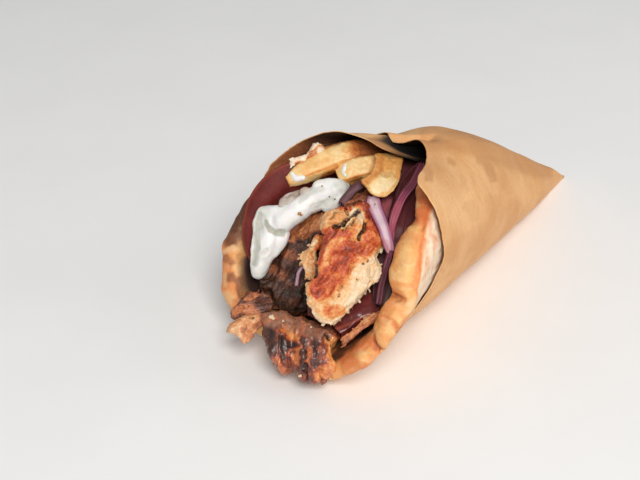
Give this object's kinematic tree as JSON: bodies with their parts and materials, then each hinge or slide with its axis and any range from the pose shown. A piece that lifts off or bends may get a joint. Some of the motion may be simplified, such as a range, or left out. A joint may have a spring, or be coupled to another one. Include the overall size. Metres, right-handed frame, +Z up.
{
  "type": "gyro wrap",
  "caption": "Soft pita rolled into a cone round sliced meat, fried potato, onion, tomato and yoghurt sauce, held in a brown paper cone and lying on its side.",
  "frame": {"origin": "middle of the bounding box on the table plane", "axes": "+X from the open mouth to the paper's point, +Z up from the table, -Y towards the side that the picture shows"},
  "size_m": [0.1984, 0.0886, 0.073],
  "materials": {
    "fry_long": "fried",
    "fry_right": "fried",
    "fry_short": "fried",
    "meat_sliver": "moist",
    "tzatziki": "moist",
    "meat_large": "moist",
    "meat_scrap": "moist",
    "onion_pale": "moist",
    "onion_bright": "moist",
    "onion_middle": "moist",
    "onion_thread": "moist",
    "flake_low": "moist",
    "meat_front": "moist",
    "flake_high": "moist",
    "meat_strip": "moist",
    "tomato_front": "moist",
    "meat_back": "moist",
    "onion_layer": "moist",
    "onion_behind": "moist",
    "meat_dark": "moist",
    "paper_wrap": "uncoated paper",
    "pita": "baked bread",
    "tomato_left": "moist",
    "meat_core": "moist"
  },
  "bodies": {
    "root": {"fry_long": "fry_long", "fry_right": "fry_right", "fry_short": "fry_short", "meat_sliver": "meat_sliver", "tzatziki": "tzatziki", "meat_large": "meat_large", "meat_scrap": "meat_scrap", "onion_pale": "onion_pale", "onion_bright": "onion_bright", "onion_middle": "onion_middle", "onion_thread": "onion_thread", "flake_low": "flake_low", "meat_front": "meat_front", "flake_high": "flake_high", "meat_strip": "meat_strip", "tomato_front": "tomato_front", "meat_back": "meat_back", "onion_layer": "onion_layer", "onion_behind": "onion_behind", "meat_dark": "meat_dark", "paper_wrap": "paper_wrap", "pita": "pita", "tomato_left": "tomato_left", "meat_core": "meat_core"}
  },
  "joints": []
}
